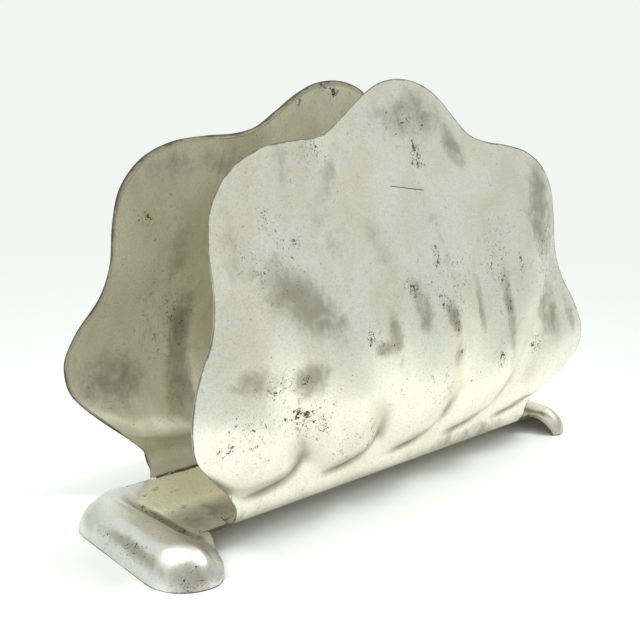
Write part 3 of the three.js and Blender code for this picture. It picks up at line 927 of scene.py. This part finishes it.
rear_end_x = BASE_HALF_LENGTH + 1
front_end_x = BASE_HALF_LENGTH - 0.1
neck_ends_y = (NECK_FRONT_Y + 0.1, NECK_REAR_Y - 0.1)
make_solder("front_solder_run", "front_seam", plate_finish,
            (-front_end_x, -SEAM_Y), (front_end_x, -SEAM_Y),
            width=2.0, crown=0.15, ragged=0.1, seed=2)
make_solder("rear_solder_run", "rear_seam", solder_finish,
            (-rear_end_x, SEAM_Y), (rear_end_x, SEAM_Y),
            width=1.3, crown=0.35, ragged=0.9, seed=3, blob=0.6)
for side, name in ((-1, "left"), (1, "right")):
    start, end = ((side * FOOT_SEAM_X, end_y) for end_y in neck_ends_y)
    make_solder(f"{name}_foot_solder_run", f"{name}_foot_seam", plate_finish, start, end,
                width=1.8, crown=0.06, ragged=0.1, seed=4 + side)

# ---- Stage, light and camera --------------------------------------------------------------------

BACKDROP = (0.88, 0.92, 0.89)
FLOOR_COLOUR = (0.92, 0.925, 0.92)
FLOOR_RADIUS = 4000
LIT_FLOOR_RADIUS = 85  # around the middle of the holder the floor shows light and shadow alone

# The camera stands where the photograph's perspective puts it, in millimetres and degrees.
CAMERA_PLACE = (-166.7, -160.2, 94.7)
CAMERA_AZIMUTH = 43.55
CAMERA_ELEVATION = 12.78
CAMERA_ROLL = 2.05
CAMERA_LENS = 47.2
CAMERA_SENSOR = 36


def make_floor():
    """A round pale floor that goes over to the backdrop's colour far from the object."""
    rings, spokes = 40, 96
    points = [(0, 0, 0)]
    faces = []
    for ring in range(1, rings + 1):
        r = FLOOR_RADIUS * (ring / rings) ** 2
        angles = [2 * math.pi * k / spokes for k in range(spokes)]
        points += [(r * math.cos(angle), r * math.sin(angle), 0) for angle in angles]
    for k in range(spokes):
        after = (k + 1) % spokes
        faces.append((0, 1 + k, 1 + after))
        for ring in range(rings - 1):
            base = 1 + ring * spokes
            faces.append((base + k, base + spokes + k, base + spokes + after, base + after))
    piece = mesh_object("studio_floor", np.array(points) * MM, faces)

    tree = Tree(bpy.data.materials.new("pale_floor"))
    far = tree.add("ShaderNodeVectorMath", {0: tree.place}, operation="LENGTH").outputs["Value"]
    near = tree.calc("DIVIDE", LIT_FLOOR_RADIUS * MM, far)
    fade = tree.calc("SUBTRACT", 1.0, tree.calc("MULTIPLY", near, near), clamp=True)
    lit = tree.add("ShaderNodeBsdfDiffuse", {"Color": (*FLOOR_COLOUR, 1)}).outputs[0]
    glow = tree.add("ShaderNodeEmission", {"Color": (*BACKDROP, 1)}).outputs[0]
    both = tree.add("ShaderNodeMixShader", {0: fade, 1: lit, 2: glow}).outputs[0]
    tree.add("ShaderNodeOutputMaterial", {"Surface": both})
    piece.data.materials.append(tree.owner)


def make_world():
    """Soft white all round, dimmer in front of the holder on its right."""
    tree = Tree(bpy.data.worlds.new("studio"), "Generated")
    dim_side = Vector((0.62, -0.78, 0.1)).normalized()
    facing = tree.add("ShaderNodeVectorMath", {0: tree.place, 1: dim_side}, operation="DOT_PRODUCT")
    dim = tree.add(
        "ShaderNodeMapRange",
        {
            "Value": facing.outputs["Value"],
            "From Min": 0.35,
            "From Max": 1.0,
            "To Min": 1.0,
            "To Max": 0.68,
        },
        interpolation_type="SMOOTHSTEP",
    )
    seen = tree.add("ShaderNodeLightPath").outputs["Is Camera Ray"]
    level = tree.add("ShaderNodeMix", {0: seen, 2: dim.outputs[0], 3: 1.0}).outputs[0]
    shade = tree.add("ShaderNodeBackground", {"Color": (*BACKDROP, 1), "Strength": level})
    tree.add("ShaderNodeOutputWorld", {"Surface": shade.outputs[0]})
    bpy.context.scene.world = tree.owner


def make_light(name, place, size, power):
    """A round soft lamp that faces the middle of the floor, in metres and watts."""
    light = bpy.data.lights.new(name, "AREA")
    light.shape = "DISK"
    light.size = size
    light.energy = power
    made = bpy.data.objects.new(name, light)
    made.location = place
    made.rotation_euler = (-Vector(place)).to_track_quat("-Z", "Y").to_euler()
    bpy.context.scene.collection.objects.link(made)


def make_camera():
    angles = (CAMERA_AZIMUTH, CAMERA_ELEVATION, CAMERA_ROLL)
    azimuth, elevation, roll = (math.radians(angle) for angle in angles)
    right = Vector((math.cos(azimuth), -math.sin(azimuth), 0))
    ahead = Vector((
        math.sin(azimuth) * math.cos(elevation),
        math.cos(azimuth) * math.cos(elevation),
        -math.sin(elevation),
    ))
    up = right.cross(ahead)
    rolled_right = math.cos(roll) * right + math.sin(roll) * up
    rolled_up = math.cos(roll) * up - math.sin(roll) * right
    turn = Matrix((rolled_right, rolled_up, -ahead)).transposed().to_4x4()
    data = bpy.data.cameras.new("camera")
    data.lens = CAMERA_LENS
    data.sensor_width = CAMERA_SENSOR
    data.clip_start = 0.01
    data.clip_end = 20
    camera = bpy.data.objects.new("camera", data)
    camera.matrix_world = Matrix.Translation(Vector(CAMERA_PLACE) * MM) @ turn
    bpy.context.scene.collection.objects.link(camera)
    bpy.context.scene.camera = camera


make_floor()
make_world()
make_light("key", (0.45, -0.3, 1.1), size=0.36, power=6)
make_light("fill", (-0.3, 0.3, 1.2), size=1.0, power=4)
make_camera()
bpy.context.scene.view_settings.view_transform = "Standard"
